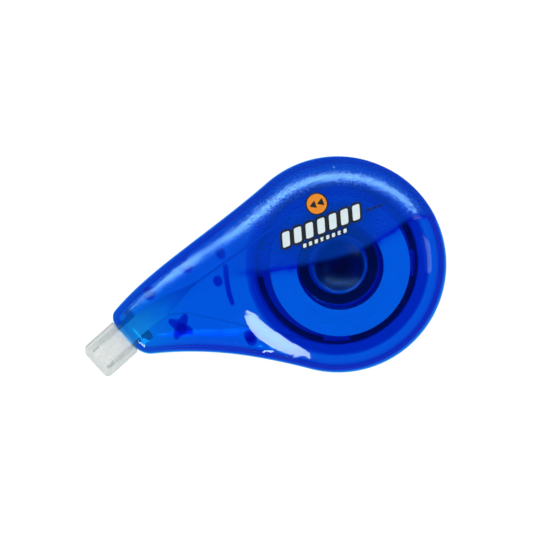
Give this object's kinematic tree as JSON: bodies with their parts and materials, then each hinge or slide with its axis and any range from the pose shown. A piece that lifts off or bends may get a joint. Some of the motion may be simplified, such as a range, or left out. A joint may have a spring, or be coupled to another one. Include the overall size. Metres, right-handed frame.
{
  "type": "correction tape roller",
  "caption": "Teardrop correction tape roller: translucent casing, coaxial supply and take-up reels with a slip clutch, and a flat applicator blade under a pull-off cap.",
  "frame": {"origin": "on the flat back face, at the reel axis", "axes": "+Z along the reel axis towards the front face, -X towards the nose, +Y away from the side that the head turns to"},
  "size_m": [0.0835, 0.048, 0.016],
  "materials": {
    "casing_blue": "translucent cobalt blue, glossy with a frosted zone",
    "reel_blue": "dark blue moulded plastic",
    "clear_plastic": "clear moulded plastic",
    "tape_white": "white correction film on its backing",
    "backing_film": "translucent spent backing film",
    "ring_rubber": "black rubber",
    "washer_white": "natural white plastic"
  },
  "bodies": {
    "casing": {"front_shell": "casing_blue", "rear_shell": "casing_blue", "applicator_head": "clear_plastic", "tape_feed_run": "tape_white", "tape_return_run": "backing_film"},
    "supply": {"supply_reel": "reel_blue", "supply_tape_roll": "tape_white"},
    "takeup": {"takeup_reel": "reel_blue", "takeup_tape_roll": "backing_film", "clutch_disc": "reel_blue", "clutch_ring": "ring_rubber", "thrust_washer": "washer_white", "retaining_collar": "reel_blue"},
    "cap": {"head_cap": "clear_plastic"}
  },
  "joints": [
    {"name": "supply_spin", "type": "hinge", "parent": "casing", "child": "supply", "pos_m": [0, 0, 0], "axis": [0, 0, 1], "continuous": true},
    {"name": "takeup_spin", "type": "hinge", "parent": "casing", "child": "takeup", "pos_m": [0, 0, 0], "axis": [0, 0, 1], "continuous": true},
    {"name": "cap_slide", "type": "slide", "parent": "casing", "child": "cap", "axis": [-0.9304, -0.3665, 0], "range_m": [0, 0.014]}
  ],
  "couplings": [
    {"joint": "takeup_spin", "follows": "supply_spin", "ratio": 0.8564}
  ]
}
